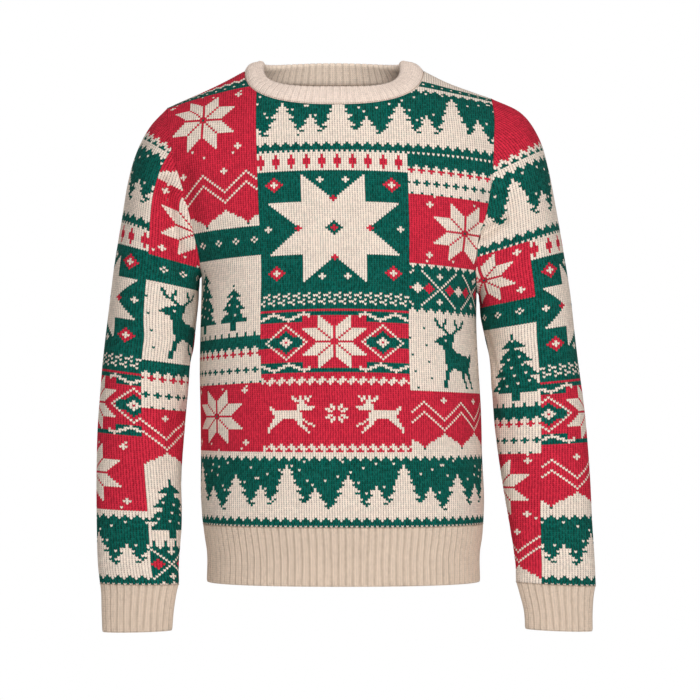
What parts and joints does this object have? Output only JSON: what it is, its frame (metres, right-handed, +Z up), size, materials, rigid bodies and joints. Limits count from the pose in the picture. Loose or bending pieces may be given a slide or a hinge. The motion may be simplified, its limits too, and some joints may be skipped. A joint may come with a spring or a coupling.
{
  "type": "christmas sweater, long-sleeved crew neck, filled out as if worn",
  "caption": "Hollow long-sleeved crew-neck sweater in patterned knit, filled out as if worn, open at the neck, hem and cuffs.",
  "frame": {"origin": "between the shoulders at the base of the neck, where the wearer's shoulders and neck hold the garment up", "axes": "+Z up, the front of the garment faces -Y, and the wearer's left arm is at +X"},
  "size_m": [0.6465, 0.2473, 0.7425],
  "materials": {
    "jacquard_knit": "matt jacquard knit in cream, green and red yarn",
    "rib_knit": "matt 2x1 ribbed knit in beige yarn"
  },
  "bodies": {
    "root": {"front": "jacquard_knit", "back": "jacquard_knit", "sleeve_left": "jacquard_knit", "sleeve_right": "jacquard_knit", "cuff_left": "rib_knit", "cuff_right": "rib_knit", "hem_rib_front": "rib_knit", "hem_rib_back": "rib_knit", "collar": "rib_knit"}
  },
  "joints": []
}
